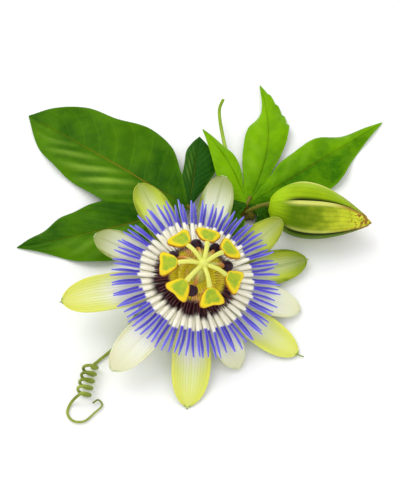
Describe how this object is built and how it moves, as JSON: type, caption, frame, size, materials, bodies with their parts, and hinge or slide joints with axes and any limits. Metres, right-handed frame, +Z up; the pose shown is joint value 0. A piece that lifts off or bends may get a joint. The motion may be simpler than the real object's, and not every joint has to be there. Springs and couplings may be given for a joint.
{
  "type": "passion flower",
  "caption": "Cut passion flower sprig lying flat: an open bloom with a violet and cream filament crown, a closed bud, palmate leaves and tendrils on a short vine.",
  "frame": {"origin": "on the table, at the flat spot of the bloom's stalk under the bloom", "axes": "+Z up from the table, +X to the right past the bud, +Y from the bloom back to the leaves"},
  "size_m": [0.1499, 0.1549, 0.0311],
  "materials": {
    "petal": "soft matte, white with green-yellow edges",
    "sepal": "soft matte, pale green with yellow-green edges",
    "cup": "smooth matte green",
    "bract": "thin matte green",
    "filament": "satin, banded dark root, cream and violet",
    "inner_crown": "satin dark maroon",
    "column": "smooth waxy green-yellow",
    "stamen": "powdery yellow with a green middle",
    "style": "smooth, peach with a maroon-black stigma",
    "bud": "satin, veined yellow-green",
    "leaf": "glossy veined leaf green",
    "tendril": "smooth olive green",
    "vine": "ribbed matte green-brown"
  },
  "bodies": {
    "root": {"bloom_stalk": "cup", "bract_1": "bract", "bract_2": "bract", "bract_3": "bract", "bud": "bud", "column": "column", "corona_inner": "inner_crown", "corona_outer": "filament", "leaf_left": "leaf", "leaf_right": "leaf", "petal_1": "petal", "petal_2": "petal", "petal_3": "petal", "petal_4": "petal", "petal_5": "petal", "sepal_1": "sepal", "sepal_2": "sepal", "sepal_3": "sepal", "sepal_4": "sepal", "sepal_5": "sepal", "sepal_6": "sepal", "stamen_1": "stamen", "stamen_2": "stamen", "stamen_3": "stamen", "stamen_4": "stamen", "stamen_5": "stamen", "stamen_6": "stamen", "stamen_7": "stamen", "style_1": "style", "style_2": "style", "style_3": "style", "style_4": "style", "style_5": "style", "tendril_coiled": "tendril", "tendril_young": "tendril", "vine": "vine"}
  },
  "joints": []
}
